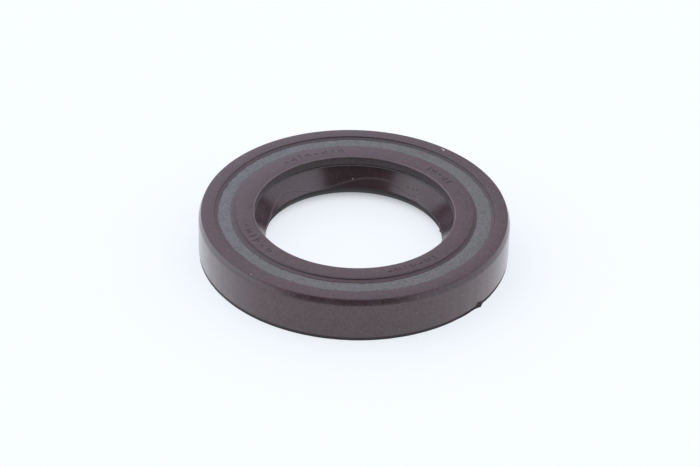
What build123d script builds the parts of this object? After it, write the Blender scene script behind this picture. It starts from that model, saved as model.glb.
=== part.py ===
"""Radial shaft seal for a 28 mm shaft in a 47 mm housing bore, 7 mm wide.

Three pieces on one axis: a moulded rubber body, the L-section steel case bonded
into it, and the garter spring that closes the sealing lip on the shaft.  +Z is
the seal's axis and points out of the air side; the seal stands on its oil side,
and the origin is the centre of that base.  Every piece is one profile, drawn in
the half plane of radius and height and revolved about Z.
"""
import math
import os

from build123d import *

os.makedirs("parts", exist_ok=True)

# ---------------------------------------------------------------- overall size
outer_d = 47.0  # rubber-covered outside, pressed into the housing bore
seal_width = 7.0  # base to air-side face
lip_d = 26.8  # sealing edge when free, under the 28 mm of the shaft

# ---------------------------------------------------------------- steel case
sheet = 0.8  # thickness of the pressed sheet
case_corner = 1.2  # 45 degree corner from flange to leg, outside
case_cover = 0.9  # rubber between the leg and the housing bore
leg_end_cover = 0.6  # rubber under the end of the leg
flange_setback = 1.2  # rubber between the mouth and the flange's inner edge

# ---------------------------------------------------------------- outer cover
air_chamfer_w = 0.4  # chamfer round the air-side face, radially
air_chamfer_h = 1.0  # the same, along the axis
base_inset = 0.12  # trimmed band below the press-fit wall
base_inset_h = 0.62
inner_coat = 0.5  # rubber on the oil side of the case
base_chamfer = 0.3  # inner edge of the base

# ---------------------------------------------------------------- air-side face
rim_width = 2.0  # flat rim outside the recess
recess_depth = 0.15
flash = 0.05  # skin of rubber left on the case at the band's edges
outer_margin = 0.35  # recess floor outside the bare band of the case
band_width = 2.05
inner_margin = 0.75  # recess floor inside it
mouth_chamfer = 0.08

# ---------------------------------------------------------------- sealing lip
lip_height = 2.0  # sealing edge above the base
lip_land = 0.45  # cylindrical land above the edge
cone_lean = 2.1  # how far the cone widens from the land up to the hinge
cone_rise = 2.75
hinge_reach = 0.5  # the hinge of the lip lies this far behind the throat
throat_depth = 1.27  # steep wall under the mouth
throat_draft = 0.1
membrane = 1.2  # thickness of the flexing wall, radially
root_chamfer = 0.5  # where the wall grows out of the coat
flank = 0.4  # radial run of the oil-side flank under the edge
bead = 0.3  # rubber each side of the spring groove, along the axis
bead_reach = 0.3  # beads stand out past the spring's centre line
head_slope = 0.6  # run-out from the head into the membrane

# ---------------------------------------------------------------- garter spring
coil_d = 1.5  # outside of the close-wound coil
coil_sides = 12  # a coil has no smooth surface, so a many-sided ring carries its size
spring_offset = 0.28  # spring plane above the sealing edge
spring_wall = 1.15  # rubber between the land and the groove
spring_play = 0.03  # round the coil in its groove

# ---------------------------------------------------------------- radii
outer_r = outer_d / 2
rim_r = outer_r - air_chamfer_w
recess_out_r = rim_r - rim_width
band_out_r = recess_out_r - outer_margin
band_in_r = band_out_r - band_width
recess_in_r = band_in_r - inner_margin
leg_out_r = outer_r - case_cover
leg_in_r = leg_out_r - sheet
coat_in_r = leg_in_r - inner_coat
lip_r = lip_d / 2
hinge_r = lip_r + cone_lean
throat_r = hinge_r - hinge_reach
mouth_r = throat_r + throat_draft
flange_in_r = mouth_r + flange_setback
groove_r = coil_d / 2 + spring_play
spring_r = lip_r + spring_wall + groove_r
head_r = spring_r + bead_reach

# ---------------------------------------------------------------- heights
recess_z = seal_width - recess_depth
flange_z = recess_z - flash
flange_under_z = flange_z - sheet
coat_z = flange_under_z - inner_coat
throat_z = seal_width - throat_depth
land_z = lip_height + lip_land
hinge_z = land_z + cone_rise
spring_z = lip_height + spring_offset
nose_z = spring_z - groove_r - bead
head_z = spring_z + groove_r + bead
waist_z = head_z + head_slope

# A 45 degree corner loses this share of each thickness that is laid inside it.
corner_loss = 2 - math.sqrt(2)
corner_under = case_corner - corner_loss * sheet
corner_coat = corner_under - corner_loss * inner_coat


def cone_r(z):
    """Radius of the cone between the land and the hinge at height z."""
    return lip_r + cone_lean * (z - land_z) / cone_rise


# ---------------------------------------------------------------- profiles
with BuildSketch(Plane.XZ) as case_profile:
    with BuildLine():
        Polyline(
            (flange_in_r, flange_z),
            (leg_out_r - case_corner, flange_z),
            (leg_out_r, flange_z - case_corner),
            (leg_out_r, leg_end_cover),
            (leg_in_r, leg_end_cover),
            (leg_in_r, flange_under_z - corner_under),
            (leg_in_r - corner_under, flange_under_z),
            (flange_in_r, flange_under_z),
            close=True,
        )
    make_face()

with BuildSketch(Plane.XZ) as body_profile:
    with BuildLine():
        Polyline(
            # air-side face, from the mouth outwards
            (mouth_r, seal_width - mouth_chamfer),
            (mouth_r + mouth_chamfer, seal_width),
            (recess_in_r, seal_width),
            (recess_in_r, recess_z),
            (band_in_r, recess_z),
            (band_in_r, flange_z),
            (band_out_r, flange_z),
            (band_out_r, recess_z),
            (recess_out_r, recess_z),
            (recess_out_r, seal_width),
            # outer cover
            (rim_r, seal_width),
            (outer_r, seal_width - air_chamfer_h),
            (outer_r, base_inset_h),
            (outer_r - base_inset, base_inset_h - base_inset),
            (outer_r - base_inset, 0),
            # oil side: base, and the coat inside the case
            (coat_in_r + base_chamfer, 0),
            (coat_in_r, base_chamfer),
            (coat_in_r, coat_z - corner_coat),
            (coat_in_r - corner_coat, coat_z),
            # back of the lip, from its root down to the head
            (cone_r(coat_z) + membrane + root_chamfer, coat_z),
            (cone_r(coat_z - root_chamfer) + membrane, coat_z - root_chamfer),
            (cone_r(waist_z) + membrane, waist_z),
            (head_r, head_z),
            (head_r, nose_z),
            (lip_r + flank, nose_z),
            # sealing edge, land, cone, hinge and throat
            (lip_r, lip_height),
            (lip_r, land_z),
            (hinge_r, hinge_z),
            (throat_r, throat_z),
            close=True,
        )
    make_face()
    add(case_profile.sketch, mode=Mode.SUBTRACT)
    with Locations((spring_r, spring_z)):
        RegularPolygon(groove_r, coil_sides, major_radius=False, mode=Mode.SUBTRACT)

with BuildSketch(Plane.XZ) as spring_profile:
    with Locations((spring_r, spring_z)):
        RegularPolygon(coil_d / 2, coil_sides, major_radius=False)

# ---------------------------------------------------------------- pieces
with BuildPart() as rubber_body:
    add(body_profile.sketch)
    revolve(axis=Axis.Z)

with BuildPart() as metal_case:
    add(case_profile.sketch)
    revolve(axis=Axis.Z)

with BuildPart() as garter_spring:
    add(spring_profile.sketch)
    revolve(axis=Axis.Z)

rubber_body.part.label = "rubber_body"
metal_case.part.label = "metal_case"
garter_spring.part.label = "garter_spring"

export_step(rubber_body.part, "parts/rubber_body.step")
export_step(metal_case.part, "parts/metal_case.step")
export_step(garter_spring.part, "parts/garter_spring.step")
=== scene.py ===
"""A radial shaft seal for a 28 mm shaft.

Brown rubber is moulded round a steel case, and a garter spring holds its lip. The seal lies on its
oil side, with its axis upright. Lengths are in millimetres until a piece is finished, when its mesh
is taken to metres.
"""

from math import acos, atan2, cos, degrees, hypot, pi, radians, sin, tau

import bmesh
import bpy
from mathutils import Matrix, Quaternion, Vector, noise


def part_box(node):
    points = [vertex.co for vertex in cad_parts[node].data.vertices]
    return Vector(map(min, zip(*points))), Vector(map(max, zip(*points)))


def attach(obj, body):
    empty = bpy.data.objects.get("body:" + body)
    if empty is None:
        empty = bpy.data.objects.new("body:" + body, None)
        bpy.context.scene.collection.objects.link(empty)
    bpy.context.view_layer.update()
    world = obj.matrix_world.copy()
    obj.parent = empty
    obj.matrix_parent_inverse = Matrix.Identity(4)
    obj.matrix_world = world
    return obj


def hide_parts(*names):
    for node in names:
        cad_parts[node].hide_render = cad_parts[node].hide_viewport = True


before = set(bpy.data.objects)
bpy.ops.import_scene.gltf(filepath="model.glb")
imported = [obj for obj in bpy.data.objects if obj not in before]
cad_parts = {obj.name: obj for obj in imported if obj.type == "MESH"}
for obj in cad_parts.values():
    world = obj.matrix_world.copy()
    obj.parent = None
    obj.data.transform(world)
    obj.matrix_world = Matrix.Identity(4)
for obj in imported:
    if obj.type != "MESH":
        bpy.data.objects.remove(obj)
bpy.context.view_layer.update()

METRE = 1000.0

# The frame gives the overall size of each piece. The rest of the section is named here.
_, body_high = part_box("rubber_body")
OUTER_R = body_high.x * METRE
FACE_Z = body_high.z * METRE
spring_low, spring_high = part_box("garter_spring")
SPRING_Z = (spring_low.z + spring_high.z) / 2 * METRE
COIL_R = (spring_high.z - spring_low.z) / 2 * METRE
SPRING_R = spring_high.x * METRE - COIL_R
case_low, case_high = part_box("metal_case")
CASE_R = case_high.x * METRE
CASE_Z = case_high.z * METRE
CASE_END_Z = case_low.z * METRE

# The steel case: its sheet, the outer radius of its bend, and the inner edge of its flange.
SHEET = 0.8
CASE_BEND = 1.2
FLANGE_R = 16.3

# The outside of the rubber: the chamfer round the face and the trimmed band at the foot.
RIM_R = OUTER_R - 0.4
CHAMFER_Z = FACE_Z - 1.0
BASE_R = OUTER_R - 0.05
BASE_BAND_Z = 0.56

# The face: a shallow recess between two steps, in which a band of the case is left bare.
STEP_OUT_R = 21.1
STEP_IN_R = 17.95
RECESS_Z = FACE_Z - 0.15
BAND_OUT_R = 20.75
BAND_IN_R = 18.7

# The bore: the mouth, the throat down to the hinge, and the cone down to the lip's land and nose.
MOUTH_R = 15.1
THROAT_R = 15.0
THROAT_Z = 5.73
HINGE_R = 15.5
HINGE_Z = 5.2
LIP_R = 13.4
LAND_Z = 2.45
LIP_Z = 2.0
NOSE_R = 13.8
NOSE_Z = 1.2
CONE_SLOPE = (HINGE_R - LIP_R) / (HINGE_Z - LAND_Z)

# The oil side: the coat inside the case, the back of the lip, and the head that holds the spring.
COAT = 0.5
COAT_R = CASE_R - SHEET - COAT
COAT_Z = CASE_Z - SHEET - COAT
LIP_WALL = 1.2
HEAD_R = SPRING_R + 0.3
HEAD_Z = 3.36
WAIST_Z = 3.96
GROOVE_R = 0.79
GROOVE_STEPS = 14

STEPS_ROUND = 720
# A rounding with a smaller setback than this has two facets, and any other has four.
FINE_ROUND = 0.1


def cone_r(height):
    """Radius of the lip's air-side cone at that height."""
    return LIP_R + (height - LAND_Z) * CONE_SLOPE


# ---------------------------------------------------------------- making pieces


def add(operator, name, **settings):
    """Adds one primitive with nothing else selected."""
    bpy.ops.object.select_all(action="DESELECT")
    operator(**settings)
    piece = bpy.context.object
    piece.name = name
    piece.data.name = name
    return piece


def work_on(piece):
    bpy.ops.object.select_all(action="DESELECT")
    piece.select_set(True)
    bpy.context.view_layer.objects.active = piece


def pick_corners(piece, places, reach=0.004):
    """Selects, in edit mode, the vertices of a flat section that lie at those places."""
    bpy.ops.mesh.select_all(action="DESELECT")
    mesh = bmesh.from_edit_mesh(piece.data)
    for vertex in mesh.verts:
        for radius, height in places:
            if hypot(vertex.co.x - radius, vertex.co.z - height) < reach:
                vertex.select = True
    mesh.select_flush_mode()
    bmesh.update_edit_mesh(piece.data)


def turned(name, corners):
    """Turns a closed section round the axis.

    A corner is its radius, its height and the setback of its rounding.
    """
    piece = add(
        bpy.ops.mesh.primitive_circle_add,
        name,
        vertices=len(corners),
        fill_type="NGON",
        radius=1,
    )
    for vertex, (radius, height, _) in zip(piece.data.vertices, corners):
        vertex.co = (radius, 0, height)
    bpy.ops.object.mode_set(mode="EDIT")
    bpy.ops.mesh.select_mode(type="VERT")
    for setback in sorted({c[2] for c in corners if c[2]}):
        pick_corners(piece, [(r, z) for r, z, rounding in corners if rounding == setback])
        bpy.ops.mesh.bevel(
            offset_type="OFFSET",
            offset=setback,
            segments=2 if setback < FINE_ROUND else 4,
            profile=0.5,
            affect="VERTICES",
        )
    bpy.ops.mesh.select_all(action="SELECT")
    bpy.ops.mesh.delete(type="ONLY_FACE")
    bpy.ops.mesh.select_all(action="SELECT")
    bpy.ops.mesh.spin(steps=STEPS_ROUND, angle=tau, center=(0, 0, 0), axis=(0, 0, 1))
    bpy.ops.mesh.select_all(action="SELECT")
    bpy.ops.mesh.remove_doubles(threshold=0.0005)
    bpy.ops.mesh.normals_make_consistent(inside=False)
    bpy.ops.object.mode_set(mode="OBJECT")
    return piece


def finished(piece, node, material, crease=32):
    """Takes the mesh to metres, smooths it, finishes it and puts it in place of its CAD node."""
    piece.data.transform(Matrix.Scale(1 / METRE, 4))
    work_on(piece)
    bpy.ops.object.shade_smooth_by_angle(angle=radians(crease))
    piece.data.materials.clear()
    piece.data.materials.append(material)
    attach(piece, "root")
    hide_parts(node)


# ---------------------------------------------------------------- finishes


class Socket:
    """One output of a node. Arithmetic on it adds the Math nodes that work it out."""

    def __init__(self, graph, output):
        self.graph, self.output = graph, output

    def math(self, operation, *values):
        return self.graph.math(operation, *values)

    def __add__(self, other):
        return self.math("ADD", self, other)

    def __radd__(self, other):
        return self.math("ADD", other, self)

    def __sub__(self, other):
        return self.math("SUBTRACT", self, other)

    def __rsub__(self, other):
        return self.math("SUBTRACT", other, self)

    def __mul__(self, other):
        return self.math("MULTIPLY", self, other)

    def __rmul__(self, other):
        return self.math("MULTIPLY", other, self)

    def __truediv__(self, other):
        return self.math("DIVIDE", self, other)

    def __pow__(self, other):
        return self.math("POWER", self, other)

    def __lt__(self, other):
        return self.math("LESS_THAN", self, other)


class Graph:
    """The nodes of one finish, or of the studio's surroundings."""

    def __init__(self, owner):
        owner.use_nodes = True
        self.tree = owner.node_tree
        self.tree.nodes.clear()

    def node(self, kind, settings=None, values=None, output=0):
        made = self.tree.nodes.new(kind)
        for key, value in (settings or {}).items():
            setattr(made, key, value)
        for key, value in (values or {}).items():
            if isinstance(value, Socket):
                self.tree.links.new(value.output, made.inputs[key])
            else:
                made.inputs[key].default_value = value
        return Socket(self, made.outputs[output]) if made.outputs else None

    def math(self, operation, *values):
        return self.node(
            "ShaderNodeMath", {"operation": operation}, dict(enumerate(values))
        )

    def millimetres(self):
        """The place on the piece, in millimetres."""
        place = self.node("ShaderNodeTexCoord", output="Object")
        return self.node(
            "ShaderNodeVectorMath", {"operation": "SCALE"}, {0: place, "Scale": METRE}
        )

    def split(self, vector):
        return [self.node("ShaderNodeSeparateXYZ", {}, {0: vector}, i) for i in range(3)]

    def step(self, value, low, high):
        """0 below low, 1 above high, and smooth between them."""
        return self.node(
            "ShaderNodeMapRange",
            {"interpolation_type": "SMOOTHSTEP"},
            {"Value": value, "From Min": low, "From Max": high},
        )

    def between(self, value, low, high, edge):
        """1 where the value lies from low to high."""
        return self.step(value, low - edge, low + edge) * (
            1 - self.step(value, high - edge, high + edge)
        )

    def grain(self, place, size, detail=2.0, roughness=0.5, distortion=0.0):
        """Noise of that size in millimetres, from 0 to 1 about a half."""
        return self.node(
            "ShaderNodeTexNoise",
            {},
            {
                "Vector": place,
                "Scale": 1 / size,
                "Detail": detail,
                "Roughness": roughness,
                "Distortion": distortion,
            },
        )

    def cells(self, place, size, output="Distance"):
        return self.node(
            "ShaderNodeTexVoronoi", {}, {"Vector": place, "Scale": 1 / size}, output
        )

    def specks(self, place, cell, radius, share):
        """Small round specks, one in some of the cells, in millimetres."""
        distance = self.cells(place, cell) * cell
        pick = self.split(self.cells(place, cell, "Color"))[0]
        return (1 - self.step(distance, radius * 0.5, radius)) * (pick < share)

    def spot(self, place, bearing, away, height, size):
        """One round fleck, at that place round the seal."""
        centre = (away * cos(radians(bearing)), away * sin(radians(bearing)), height)
        distance = self.node(
            "ShaderNodeVectorMath", {"operation": "DISTANCE"}, {0: place, 1: centre}, 1
        )
        return 1 - self.step(distance, size * 0.5, size)

    def stretched(self, place, x, y, z):
        return self.node(
            "ShaderNodeVectorMath", {"operation": "MULTIPLY"}, {0: place, 1: (x, y, z)}
        )

    def mix(self, factor, one, other):
        """From one colour to the other."""
        return self.node(
            "ShaderNodeMix", {"data_type": "RGBA"}, {0: factor, 6: one, 7: other}, 2
        )

    def bump(self, height, depth, normal=None):
        """Relief of that depth in millimetres, over any relief already there."""
        values = {"Height": height, "Distance": depth / METRE, "Strength": 1.0}
        if normal is not None:
            values["Normal"] = normal
        return self.node("ShaderNodeBump", {}, values)


def colour(red, green, blue):
    return (red, green, blue, 1.0)


# Flecks of dust, by bearing in degrees, radius, height and size.
FLECKS = (
    (52.5, 22.45, 7.0, 0.26),
    (53.6, 22.62, 7.0, 0.14),
    (88.0, 15.05, 5.5, 0.13),
    (91.8, 14.2, 3.5, 0.12),
    (228.8, 23.4, 6.6, 0.16),
    (230.0, 22.9, 7.0, 0.13),
)
# The two waves of the ripple on the cone, by bearing in degrees, half-width in degrees and rise.
RIPPLE_WAVES = ((141, 28, 1.22), (75, 42, 1.35))


class RubberZones:
    """Where each zone of the rubber lies: 1 inside it and 0 outside, with a soft limit."""

    def __init__(self, graph, place):
        self.graph = graph
        self.x, self.y, self.z = graph.split(place)
        self.radius = (self.x * self.x + self.y * self.y) ** 0.5
        self.bearing = graph.math("ARCTAN2", self.y, self.x) * (180 / pi)
        self.find_wall()
        self.find_bore()
        self.find_face()
        self.find_step_shade()
        self.find_shine()

    def find_wall(self):
        """The outside wall, its chamfer, the trimmed band at its foot, which takes painted shade,
        and a painted sheen at its left.
        """
        step, z = self.graph.step, self.z
        self.outside = step(self.radius, RIM_R + 0.02, RIM_R + 0.08)
        self.chamfer = step(z, CHAMFER_Z - 0.05, CHAMFER_Z + 0.1) * self.outside
        above_foot = step(z, BASE_BAND_Z - 0.04, BASE_BAND_Z + 0.1)
        self.base_band = (1 - above_foot) * self.outside
        # A painted sheen, standing for the reflection of the bright tent, lightens the left of the
        # wall.
        self.painted_left_sheen = step(-1 * self.x / self.radius, 0.5, 0.95) * self.outside

    def find_bore(self):
        """The painted highlight along the mouth's edge, the throat, the cone, and the trimmed edge
        of the lip; the throat and the lip's edge take painted shade.
        """
        step, between = self.graph.step, self.graph.between
        radius, z = self.radius, self.z
        mouth_edge = between(radius, MOUTH_R - 0.02, MOUTH_R + 0.15, 0.03)
        # A painted highlight along the rounded edge of the mouth.
        self.painted_mouth_highlight = mouth_edge * step(z, FACE_Z - 0.2, FACE_Z - 0.08)
        in_bore = 1 - step(radius, MOUTH_R + 0.02, MOUTH_R + 0.08)
        self.throat = in_bore * between(z, HINGE_Z + 0.1, FACE_Z - 0.15, 0.05)
        off_cone = radius - LIP_R - (z - LAND_Z) * CONE_SLOPE
        on_cone = 1 - step(off_cone, 0.1, 0.2)
        self.cone = on_cone * between(z, LAND_Z, HINGE_Z + 0.1, 0.05)
        below_land = 1 - step(z, LAND_Z - 0.1, LAND_Z)
        self.edge = below_land * (1 - step(radius, NOSE_R + 0.3, NOSE_R + 0.5))

    def find_face(self):
        """The face, painted light across it that grows towards the back left, and the floor of the
        marks.
        """
        step, z = self.graph.step, self.z
        self.face = step(z, RECESS_Z - 0.05, RECESS_Z) * (1 - self.outside)
        # Painted light: the face grows lighter and bluer towards the back left.
        self.painted_side_light = step(self.y * 0.8 - self.x * 0.6, 2.0, 24.0) * self.face
        below_face = 1 - step(z, FACE_Z - 0.05, FACE_Z - 0.01)
        ring = self.graph.between(self.radius, MOUTH_R + 0.3, STEP_IN_R - 0.15, 0.05)
        self.sunk = below_face * ring

    def find_step_shade(self):
        """Painted shade along the two steps of the face, which changes side round the seal as the
        light falls.
        """
        step, between, radius = self.graph.step, self.graph.between, self.radius
        near = step(-1 * self.y / radius, -0.6, 0.3)
        nearest = step(-1 * self.y / radius, 0.72, 0.9)
        farthest = step(self.y / radius, 0.82, 0.98)
        inner_foot = between(radius, STEP_IN_R + 0.08, STEP_IN_R + 0.45, 0.14)
        inner_top = between(radius, STEP_IN_R - 0.38, STEP_IN_R - 0.05, 0.08)
        outer_foot = between(radius, STEP_OUT_R - 0.5, STEP_OUT_R - 0.06, 0.12)
        # Painted shade in the steps: inner foot, inner top on the near side, outer foot on the far
        # side.
        painted_step_shade = near * inner_foot * (1 - nearest * 0.6) * 0.9
        painted_step_shade = painted_step_shade + nearest * 0.8 * inner_top
        painted_step_shade = painted_step_shade + (1 - near) * (0.45 + farthest * 0.3) * outer_foot
        self.painted_step_shade = painted_step_shade * self.face

    def find_shine(self):
        """Polished on the wall and the cone, and dull where the rubber is cut."""
        self.polished = self.outside * (1 - self.base_band) * 0.8 + self.cone
        across = self.graph.math("ABSOLUTE", self.x) / self.radius
        sideways = self.graph.step(across, 0.75, 0.98)
        front_right = self.graph.between(self.x / self.radius, 0.69, 0.95, 0.05)
        dull = self.edge * (0.34 + sideways * 0.4) + self.throat * 0.08
        self.dull = dull + self.base_band * 0.5 * front_right


def rubber_dust(graph, place):
    """Fine dust all over, and the larger flecks."""
    dust = graph.specks(place, 1.3, 0.09, 0.4) * 0.6
    for bearing, away, height, size in FLECKS:
        dust = dust + graph.spot(place, bearing, away, height, size)
    return dust


def rubber_pits(graph, place, zone):
    """A few pits anywhere, a patch of them on the cone, and one beside the inner step."""
    pits = graph.specks(graph.stretched(place, 1.0, 1.3, 1.0), 2.3, 0.13, 0.25)
    patch = graph.between(zone.bearing, 45, 66, 4) * graph.between(zone.z, 2.9, 4.0, 0.2)
    pits = pits + graph.specks(place, 0.8, 0.2, 0.9) * (zone.cone * patch)
    return pits + graph.spot(place, 336.2, 17.92, FACE_Z, 0.18)


def rubber_tone(graph, place, zone, patch, fine):
    """The rubber's colour, as one coat over another, with painted light and shade among the coats.
    """
    tone = graph.mix(
        graph.step(graph.grain(place, 6.0, 2.0), 0.35, 0.65),
        colour(0.047, 0.015, 0.029),
        colour(0.040, 0.016, 0.026),
    )
    coats = (
        (zone.outside, colour(0.046, 0.009, 0.012)),
        (zone.chamfer, colour(0.038, 0.016, 0.020)),
        (zone.cone, colour(0.046, 0.024, 0.027)),
        # Painted shade in the throat of the bore.
        (zone.throat * 0.85, colour(0.030, 0.020, 0.021)),
        # Painted light across the face, lighter towards the back left.
        (zone.painted_side_light * 0.4, colour(0.085, 0.072, 0.096)),
        # Painted sheen on the left of the outer wall.
        (zone.painted_left_sheen * 0.5, colour(0.15, 0.13, 0.145)),
        (graph.step(patch, 0.35, 0.7) * 0.4, colour(0.058, 0.036, 0.043)),
        (
            graph.step(fine, 0.44, 0.7) * (0.52 - zone.cone * 0.25),
            colour(0.088, 0.064, 0.074),
        ),
        # Painted highlight along the mouth's edge, patchy.
        (zone.painted_mouth_highlight * (0.2 + 0.8 * patch), colour(0.20, 0.16, 0.17)),
        # Painted shade at the foot, where the trimmed band faces the shadowed floor.
        (zone.base_band * 0.78, colour(0.014, 0.011, 0.012)),
        # Painted shade on the lip's trimmed edge, which faces the shadowed floor under the lip.
        (zone.edge, colour(0.020, 0.013, 0.014)),
        (zone.sunk * 0.5, colour(0.018, 0.009, 0.011)),
        # Painted shade along the steps of the face.
        (zone.painted_step_shade, colour(0.013, 0.006, 0.008)),
    )
    for share, over in coats:
        tone = graph.mix(share, tone, over)
    return tone


def rubber_ripple(graph, zone):
    """A low ripple along the cone in two waves, where the rubber flowed together."""
    crest = LAND_Z - 0.05
    for bearing, reach, rise in RIPPLE_WAVES:
        away = graph.math("ABSOLUTE", zone.bearing - bearing)
        crest = crest + rise * (1 - graph.step(away, 0, reach))
    from_crest = graph.math("ABSOLUTE", zone.z - crest)
    return (1 - graph.step(from_crest, 0.02, 0.14)) * zone.cone


def rubber_relief(graph, place, zone, fine, pits):
    """A slow swell, the grain, the pits and the ripple, one over another."""
    relief = graph.bump(graph.grain(place, 2.6, 1.0), 0.02)
    relief = graph.bump(fine * (1 - zone.cone * 0.8), 0.012, relief)
    relief = graph.bump(1 - pits, 0.05, relief)
    return graph.bump(rubber_ripple(graph, zone), 0.045, relief)


def brown_rubber():
    """Moulded rubber, satin on the face, polished on the wall and the cone, and dull where cut."""
    material = bpy.data.materials.new("brown_rubber")
    graph = Graph(material)
    place = graph.millimetres()
    zone = RubberZones(graph, place)
    patch = graph.grain(place, 1.6, 3.0, 0.6)
    fine = graph.grain(place, 0.4, 3.0, 0.65)
    dust = rubber_dust(graph, place)
    pits = rubber_pits(graph, place, zone)
    relief = rubber_relief(graph, place, zone, fine, pits)
    tone = rubber_tone(graph, place, zone, patch, fine)
    tone = graph.mix(dust * 0.75, tone, colour(0.62, 0.60, 0.58))
    tone = graph.mix(pits * 0.8, tone, colour(0.010, 0.006, 0.007))
    rough = 0.45 + (patch - 0.5) * 0.15 - zone.outside * 0.15 - zone.cone * 0.22
    rough = rough + zone.base_band * 0.4 + dust * 0.3
    skin = graph.node(
        "ShaderNodeBsdfPrincipled",
        {},
        {
            "Base Color": tone,
            "Roughness": rough,
            "Normal": relief,
            "IOR": 1.6,
            "Coat Weight": zone.polished,
            "Coat IOR": 1.4,
            "Coat Roughness": 0.17,
        },
    )
    cut_rubber = graph.node(
        "ShaderNodeBsdfPrincipled",
        {},
        {
            "Base Color": tone,
            "Roughness": 0.9,
            "Specular IOR Level": 0.0,
            "Normal": relief,
        },
    )
    surface = graph.node(
        "ShaderNodeMixShader", {}, {0: zone.dull, 1: skin, 2: cut_rubber}
    )
    graph.node("ShaderNodeOutputMaterial", {}, {"Surface": surface})
    return material


def case_steel():
    """Pickled sheet steel, dull, with the mottled grey-green film of the bonding coat, and painted
    light towards the back left.
    """
    material = bpy.data.materials.new("case_steel")
    graph = Graph(material)
    place = graph.millimetres()
    slow = graph.grain(place, 5.0, 2.0)
    cloud = graph.grain(place, 1.1, 4.0, 0.62, 0.4)
    fine = graph.grain(place, 0.35, 3.0, 0.7)
    tone = graph.mix(
        graph.step(slow, 0.38, 0.62),
        colour(0.152, 0.157, 0.162),
        colour(0.143, 0.157, 0.150),
    )
    tone = graph.mix(
        graph.step(cloud, 0.35, 0.7) * 0.55, tone, colour(0.168, 0.168, 0.176)
    )
    x, y, _ = graph.split(place)
    # Painted light: the case grows lighter and bluer towards the back left.
    painted_side_light = graph.step(y * 0.5 - x * 0.8, 0.0, 20.0)
    tone = graph.mix(painted_side_light * 0.4, tone, colour(0.175, 0.190, 0.215))
    tone = graph.mix(
        graph.step(fine, 0.42, 0.66) * 0.55, tone, colour(0.060, 0.068, 0.065)
    )
    rough = 0.5 + (cloud - 0.5) * 0.25
    relief = graph.bump(fine, 0.006)
    relief = graph.bump(cloud, 0.012, relief)
    shader = graph.node(
        "ShaderNodeBsdfPrincipled",
        {},
        {
            "Base Color": tone,
            "Metallic": 0.45,
            "Roughness": rough,
            "Normal": relief,
            "IOR": 1.5,
        },
    )
    graph.node("ShaderNodeOutputMaterial", {}, {"Surface": shader})
    return material


def spring_steel():
    """Drawn spring wire under a film of grease."""
    material = bpy.data.materials.new("spring_steel")
    graph = Graph(material)
    place = graph.millimetres()
    cloud = graph.grain(place, 0.9, 3.0, 0.6)
    tone = graph.mix(
        graph.step(cloud, 0.35, 0.7), colour(0.50, 0.50, 0.51), colour(0.36, 0.34, 0.32)
    )
    rough = 0.28 + cloud * 0.2
    relief = graph.bump(graph.grain(place, 0.08, 2.0), 0.002)
    shader = graph.node(
        "ShaderNodeBsdfPrincipled",
        {},
        {
            "Base Color": tone,
            "Metallic": 1.0,
            "Roughness": rough,
            "Normal": relief,
        },
    )
    graph.node("ShaderNodeOutputMaterial", {}, {"Surface": shader})
    return material


# ---------------------------------------------------------------- the rubber body


def groove_corners():
    """The arc that the garter spring lies in, from the head's upper edge to its lower one."""
    half_turn = pi - acos((HEAD_R - SPRING_R) / GROOVE_R)
    corners = []
    for i in range(GROOVE_STEPS + 1):
        turn = pi - half_turn + 2 * half_turn * i / GROOVE_STEPS
        corners.append(
            (SPRING_R + GROOVE_R * cos(turn), SPRING_Z + GROOVE_R * sin(turn), 0)
        )
    return corners


def body_corners():
    """The corners of the rubber's section, from the mouth outwards and round to the throat."""
    inner_bend = CASE_BEND - SHEET
    return [
        (MOUTH_R, FACE_Z, 0.14),
        (STEP_IN_R, FACE_Z, 0.1),
        (STEP_IN_R, RECESS_Z, 0.04),
        (BAND_IN_R, RECESS_Z, 0.03),
        (BAND_IN_R, CASE_Z, 0),
        (FLANGE_R, CASE_Z, 0),
        (FLANGE_R, CASE_Z - SHEET, 0),
        (CASE_R - SHEET, CASE_Z - SHEET, inner_bend),
        (CASE_R - SHEET, CASE_END_Z, 0),
        (CASE_R, CASE_END_Z, 0),
        (CASE_R, CASE_Z, CASE_BEND),
        (BAND_OUT_R, CASE_Z, 0),
        (BAND_OUT_R, RECESS_Z, 0.03),
        (STEP_OUT_R, RECESS_Z, 0.04),
        (STEP_OUT_R, FACE_Z, 0.1),
        (RIM_R, FACE_Z, 0.12),
        (OUTER_R, CHAMFER_Z, 0.15),
        (OUTER_R, BASE_BAND_Z + 0.06, 0.03),
        (BASE_R, BASE_BAND_Z - 0.06, 0.03),
        (BASE_R, 0, 0.08),
        (COAT_R, 0, 0.3),
        (COAT_R, COAT_Z, 0.45),
        (cone_r(COAT_Z) + LIP_WALL, COAT_Z, 0.5),
        (cone_r(WAIST_Z) + LIP_WALL, WAIST_Z, 0.3),
        (HEAD_R, HEAD_Z, 0.12),
        *groove_corners(),
        (HEAD_R, NOSE_Z, 0.12),
        (NOSE_R, NOSE_Z, 0.1),
        (LIP_R, LIP_Z, 0.05),
        (LIP_R, LAND_Z, 0.12),
        (HINGE_R, HINGE_Z, 0.2),
        (THROAT_R, THROAT_Z, 0.12),
    ]


# A point this near to an edge of the bare band is part of it. The burr stands out from the foot.
EDGE_REACH = 0.06
BURR = 0.34


def wander(angle, slowly, quickly, seed):
    """A slow and a quick waver round the seal, about 0, that closes on itself."""
    slow = noise.noise(Vector((cos(angle) * 3, sin(angle) * 3, seed)))
    quick = noise.noise(Vector((cos(angle) * 16, sin(angle) * 16, seed + 5)))
    return slowly * slow + quickly * quick


def bite(angle, place, width):
    """1 at a place in degrees, falling to 0 at that width in degrees."""
    away = abs((degrees(angle) - place + 180) % 360 - 180)
    return max(0.0, 1 - away / width) ** 2


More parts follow.
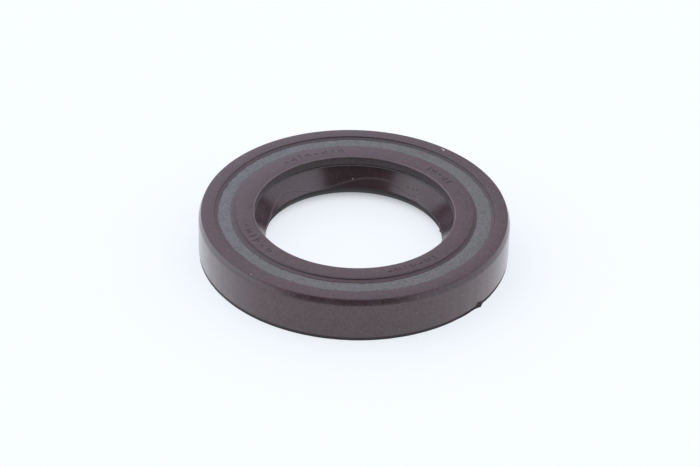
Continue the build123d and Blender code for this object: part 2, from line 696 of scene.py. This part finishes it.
def stray(radius, height, angle):
    """How far a point of the rubber's edges lies outside its turned place."""
    on_face = height > CASE_Z - 0.01
    if on_face and abs(radius - BAND_IN_R) < EDGE_REACH:
        lean = 0.1 + 0.18 * cos(angle - radians(45))
        return wander(angle, 0.10, 0.08, 1) + 0.25 * bite(angle, 157, 7) - lean
    if on_face and abs(radius - BAND_OUT_R) < EDGE_REACH:
        lean = 0.15 + 0.2 * cos(angle - radians(110))
        return wander(angle, 0.08, 0.14, 4) - lean
    if height < BASE_BAND_Z + 0.1 and radius > BASE_R - 0.1:
        burr = BURR * bite(angle, 323, 3.6) if 0.05 < height < 0.6 else 0.0
        return min(0.0, wander(angle, 0.04, 0.04, 9)) + 0.04 + burr
    if LIP_Z - 0.1 < height < LIP_Z + 0.2 and radius < LIP_R + 0.2:
        return -0.14 * bite(angle, 11, 1.3) - 0.1 * bite(angle, -2, 1.1)
    return 0.0


def make_body():
    """The rubber, turned, with its edges let stray and its marks sunk."""
    piece = turned("moulded_rubber", body_corners())
    for vertex in piece.data.vertices:
        place = vertex.co
        angle = atan2(place.y, place.x)
        shift = stray(hypot(place.x, place.y), place.z, angle)
        place.x += shift * cos(angle)
        place.y += shift * sin(angle)
    sink_marks(piece)
    finished(piece, "rubber_body", brown_rubber())


# Each group of marks: its first and last bearing in degrees, and how many marks it has.
MARK_GROUPS = ((31, 47, 5), (98, 130, 8), (197, 222, 6), (289, 315, 7))
MARKS_R = 16.75
STROKE_LENGTH = 1.15
STROKE_WIDTH = 0.26
STROKE_DEPTH = 0.06
STROKE_ROUND = 0.055
# The strokes of each kind of mark: their turn from the radius in degrees, their share of the full
# length, and their offset along the face.
MARKS = (
    ((0, 1.0, -0.3), (90, 0.35, 0.2)),
    ((90, 0.6, 0.0),),
    ((20, 0.8, -0.2), (0, 0.5, 0.35)),
    ((0, 1.0, 0.0),),
)


def make_stroke():
    """One plain stroke, as the cutter leaves it in the mould."""
    stroke = add(bpy.ops.mesh.primitive_cube_add, "stroke", size=1)
    stroke.data.transform(
        Matrix.Diagonal((STROKE_LENGTH, STROKE_WIDTH, 2 * STROKE_DEPTH, 1))
    )
    bpy.ops.object.mode_set(mode="EDIT")
    bpy.ops.mesh.select_all(action="SELECT")
    bpy.ops.mesh.bevel(offset=STROKE_ROUND, segments=2, affect="EDGES")
    bpy.ops.object.mode_set(mode="OBJECT")
    return stroke


def copy_stroke(stroke, angle, away, turn, share, along):
    """A copy of the stroke, turned, shortened and moved to its place in the face."""
    copy = bpy.data.objects.new("stroke_copy", stroke.data.copy())
    bpy.context.scene.collection.objects.link(copy)
    copy.data.transform(
        Matrix.Rotation(angle, 4, "Z")
        @ Matrix.Translation((away, along, FACE_Z))
        @ Matrix.Rotation(radians(turn), 4, "Z")
        @ Matrix.Scale(share, 4, (1, 0, 0))
    )
    return copy


def place_strokes():
    """All the strokes of the marks, in groups round the inner ring of the face."""
    stroke = make_stroke()
    copies = []
    for first, last, count in MARK_GROUPS:
        for i in range(count):
            angle = radians(first + (last - first) * i / (count - 1))
            away = MARKS_R + 0.3 * noise.noise(Vector((i * 1.7, first, 2)))
            for turn, share, along in MARKS[(i + first) % len(MARKS)]:
                copies.append(copy_stroke(stroke, angle, away, turn, share, along))
    bpy.data.objects.remove(stroke)
    return copies


def sink_marks(body):
    """Sinks the short plain strokes into the face."""
    copies = place_strokes()
    work_on(copies[0])
    for copy in copies:
        copy.select_set(True)
    bpy.ops.object.join()
    cutter = bpy.context.object
    work_on(body)
    cut = body.modifiers.new("strokes", "BOOLEAN")
    cut.object = cutter
    cut.operation = "DIFFERENCE"
    cut.solver = "EXACT"
    bpy.ops.object.modifier_apply(modifier=cut.name)
    bpy.data.objects.remove(cutter)


# ---------------------------------------------------------------- the steel case

SHEARED_EDGE = 0.05


def make_case():
    """The L-section ring of sheet steel that the rubber is bonded to."""
    piece = turned(
        "pressed_case",
        [
            (FLANGE_R, CASE_Z, SHEARED_EDGE),
            (CASE_R, CASE_Z, CASE_BEND),
            (CASE_R, CASE_END_Z, SHEARED_EDGE),
            (CASE_R - SHEET, CASE_END_Z, SHEARED_EDGE),
            (CASE_R - SHEET, CASE_Z - SHEET, CASE_BEND - SHEET),
            (FLANGE_R, CASE_Z - SHEET, SHEARED_EDGE),
        ],
    )
    finished(piece, "metal_case", case_steel())


# ---------------------------------------------------------------- the garter spring

WIRE_R = 0.14
TURNS = 330
POINTS_A_TURN = 10


def make_spring():
    """Fine wire close-wound into a coil, whose ends are screwed together into a ring."""
    coil_line_r = COIL_R - WIRE_R
    curve = bpy.data.curves.new("wound_spring", "CURVE")
    curve.dimensions = "3D"
    curve.bevel_depth = WIRE_R
    curve.bevel_resolution = 1
    spline = curve.splines.new("POLY")
    spline.points.add(TURNS * POINTS_A_TURN - 1)
    for i, point in enumerate(spline.points):
        round_seal = tau * i / len(spline.points)
        round_coil = tau * i / POINTS_A_TURN
        away = SPRING_R + coil_line_r * cos(round_coil)
        point.co = (
            away * cos(round_seal),
            away * sin(round_seal),
            SPRING_Z + coil_line_r * sin(round_coil),
            1,
        )
    spline.use_cyclic_u = True
    piece = bpy.data.objects.new("wound_spring", curve)
    bpy.context.scene.collection.objects.link(piece)
    work_on(piece)
    bpy.ops.object.convert(target="MESH")
    coil = bpy.context.object
    finished(coil, "garter_spring", spring_steel(), crease=60)


# ---------------------------------------------------------------- the studio

# The table's radius is in metres.
FLOOR_R = 2.5
FLOOR_TINT = colour(0.913, 0.956, 1.0)
GLOW_STRENGTH = 1.075
GLOW_SHARE = 0.72
# Under the seal the glow fades away from the first of these radii to the second.
FADE_START_R = 13.2
FADE_END_R = 18.0


def make_floor():
    """A pale table, seen by the camera and in mirrors mostly by its own glow.

    The rest of what is seen takes the seal's shadow, and the glow fades away under the seal.
    """
    floor = add(
        bpy.ops.mesh.primitive_circle_add,
        "table",
        vertices=64,
        radius=FLOOR_R,
        fill_type="NGON",
    )
    material = bpy.data.materials.new("pale_table")
    graph = Graph(material)
    diffuse = graph.node("ShaderNodeBsdfDiffuse", {}, {"Color": FLOOR_TINT})
    glow = graph.node(
        "ShaderNodeEmission", {}, {"Color": FLOOR_TINT, "Strength": GLOW_STRENGTH}
    )
    seen = (
        graph.node("ShaderNodeLightPath", output="Is Camera Ray")
        + graph.node("ShaderNodeLightPath", output="Is Glossy Ray")
        + graph.node("ShaderNodeLightPath", output="Is Transmission Ray")
    )
    x, y, _ = graph.split(graph.millimetres())
    away = (x * x + y * y) ** 0.5
    within = 1 - graph.step(away, OUTER_R - 1, OUTER_R)
    covered = graph.step(away, FADE_START_R, FADE_END_R) * within
    share = seen * GLOW_SHARE * (1 - covered)
    surface = graph.node("ShaderNodeMixShader", {}, {0: share, 1: diffuse, 2: glow})
    graph.node("ShaderNodeOutputMaterial", {}, {"Surface": surface})
    floor.data.materials.append(material)


# Bearings round the tent, from +X, and widths are in degrees. The gap is the tent's opening.
LEFT_LAMP = 150
RIGHT_LAMP = 12
LOW_STRIP = 190
GAP_MIDDLE = 267
GAP_HALF_WIDTH = 42
GAP_EDGE = 4
TENT_STRENGTH = 0.8
LEFT_STRENGTH = 0.85
RIGHT_STRENGTH = 0.4
STRIP_STRENGTH = 0.7
GAP_DARKNESS = 0.88
TENT_TINT = colour(1.01, 0.975, 1.015)
LAMP_TINT = colour(0.995, 0.965, 1.075)


def make_surroundings():
    """A white tent with a lamp behind each side wall, open where the camera looks in."""
    world = bpy.data.worlds.new("white_tent")
    bpy.context.scene.world = world
    graph = Graph(world)
    direction = graph.node("ShaderNodeTexCoord", output="Generated")
    x, y, z = graph.split(direction)
    # The small sum keeps the lines below from dividing by 0 straight up.
    level = (x * x + y * y) ** 0.5 + 0.0001
    height = z / level

    def towards(bearing):
        """1 at that bearing round the tent, and -1 opposite it."""
        return (x * cos(radians(bearing)) + y * sin(radians(bearing))) / level

    walls = graph.step(level, 0.25, 0.55)
    left = graph.step(towards(LEFT_LAMP), 0.25, 0.8) * walls
    right = graph.step(towards(RIGHT_LAMP), 0.35, 0.8) * walls
    gap = graph.step(
        towards(GAP_MIDDLE),
        cos(radians(GAP_HALF_WIDTH + GAP_EDGE)),
        cos(radians(GAP_HALF_WIDTH - GAP_EDGE)),
    )
    gap = gap * graph.between(height, 0.05, 1.3, 0.05)
    raised = 0.2 + 0.8 * graph.step(height, 0.25, 0.55)
    lamps = (left * LEFT_STRENGTH + right * RIGHT_STRENGTH) * raised
    low = 1 - graph.step(height, 0.06, 0.2)
    strip = graph.step(towards(LOW_STRIP), 0.7, 0.95) * low
    strength = TENT_STRENGTH + lamps + strip * STRIP_STRENGTH
    strength = strength * (1 - gap * GAP_DARKNESS)
    camera = graph.node("ShaderNodeLightPath", output="Is Camera Ray")
    strength = strength * (1 - camera) + camera
    tone = graph.mix(left + right, TENT_TINT, LAMP_TINT)
    tone = graph.mix(camera, tone, FLOOR_TINT)
    backdrop = graph.node(
        "ShaderNodeBackground", {}, {"Color": tone, "Strength": strength}
    )
    graph.node("ShaderNodeOutputWorld", {}, {"Surface": backdrop})


EYE = Vector((0, -310.06, 212.84)) / METRE
LOOKS_AT = Vector((-0.576, -6.254, 7.0)) / METRE
CAMERA_ROLL = radians(1.587)
LENS = 126.98
SENSOR_WIDTH = 36


def make_camera():
    lens = bpy.data.cameras.new("camera")
    lens.lens = LENS
    lens.sensor_width = SENSOR_WIDTH
    camera = bpy.data.objects.new("camera", lens)
    bpy.context.scene.collection.objects.link(camera)
    camera.location = EYE
    aim = (LOOKS_AT - EYE).to_track_quat("-Z", "Y")
    camera.rotation_euler = (aim @ Quaternion((0, 0, 1), CAMERA_ROLL)).to_euler()
    bpy.context.scene.camera = camera


make_body()
make_case()
make_spring()
make_floor()
make_surroundings()
make_camera()
bpy.context.scene.view_settings.view_transform = "Standard"
